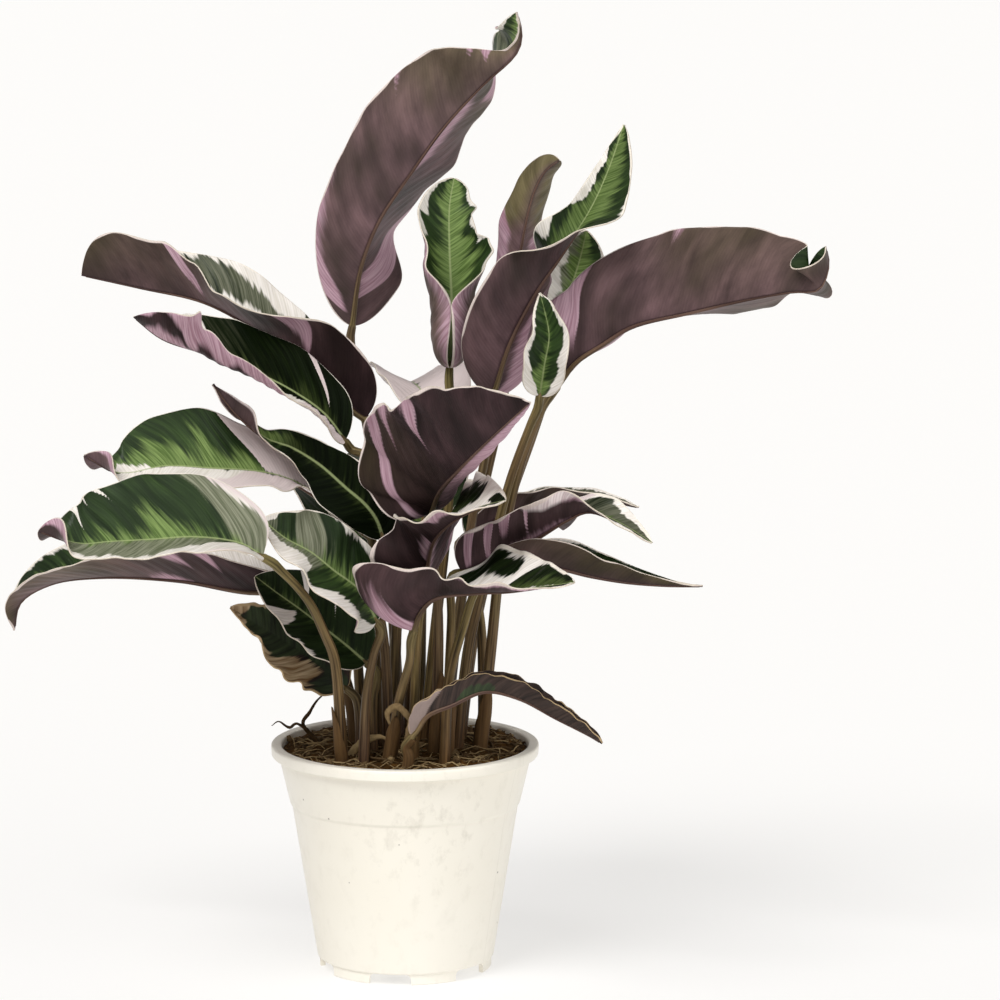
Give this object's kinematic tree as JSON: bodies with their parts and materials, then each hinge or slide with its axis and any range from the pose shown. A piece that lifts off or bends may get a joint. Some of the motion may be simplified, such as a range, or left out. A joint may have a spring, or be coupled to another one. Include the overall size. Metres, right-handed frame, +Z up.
{
  "type": "potted calathea",
  "caption": "Bushy foliage plant with long-stalked, folded variegated leaves, purple beneath, in a round white nursery pot with notched foot.",
  "frame": {"origin": "on the floor, on the pot's axis, under the middle of the whole plant", "axes": "+Z up; the plant's best side faces -Y; the two widest leaves spread along X"},
  "size_m": [0.3711, 0.2588, 0.4271],
  "materials": {
    "pot": "warm white injection-moulded polypropylene, satin, faintly scuffed",
    "soil": "dark brown coir and peat with pale fibres, matt",
    "blade": "waxy top in dark green, lime and cream-white patches; velvety plum-purple underside with pink where the top is white",
    "withered": "dry leaf, tan and brown at the edge, dull purple-grey beneath, matt",
    "stem": "fleshy leaf stalk, olive-brown with a pinkish sheath, satin"
  },
  "bodies": {
    "root": {"pot": "pot", "soil": "soil", "stem_top": "stem", "leaf_top": "blade", "stem_upper_left": "stem", "leaf_upper_left": "blade", "stem_left_high": "stem", "leaf_left_high": "blade", "stem_left_mid": "stem", "leaf_left_mid": "blade", "stem_left_inner": "stem", "leaf_left_inner": "blade", "stem_left_low": "stem", "leaf_left_low": "blade", "stem_left_trailing": "stem", "leaf_left_trailing": "blade", "stem_left_front": "stem", "leaf_left_front": "blade", "stem_left_shade": "stem", "leaf_left_shade": "blade", "stem_withered": "stem", "leaf_withered": "withered", "stem_centre": "stem", "leaf_centre": "blade", "stem_front_cup": "stem", "leaf_front_cup": "blade", "stem_front_low": "stem", "leaf_front_low": "blade", "stem_young": "stem", "leaf_young": "blade", "stem_spear": "stem", "leaf_spear": "blade", "stem_twisted": "stem", "leaf_twisted": "blade", "stem_back_pale": "stem", "leaf_back_pale": "blade", "stem_small": "stem", "leaf_small": "blade", "stem_right_inner": "stem", "leaf_right_inner": "blade", "stem_right_wing": "stem", "leaf_right_wing": "blade", "stem_right_mid": "stem", "leaf_right_mid": "blade", "stem_right_sliver": "stem", "leaf_right_sliver": "blade", "stem_right_folded": "stem", "leaf_right_folded": "blade", "stem_drooping": "stem", "leaf_drooping": "withered", "stem_back_left": "stem", "leaf_back_left": "blade", "stem_back": "stem", "leaf_back": "blade", "stem_back_right": "stem", "leaf_back_right": "blade"}
  },
  "joints": []
}
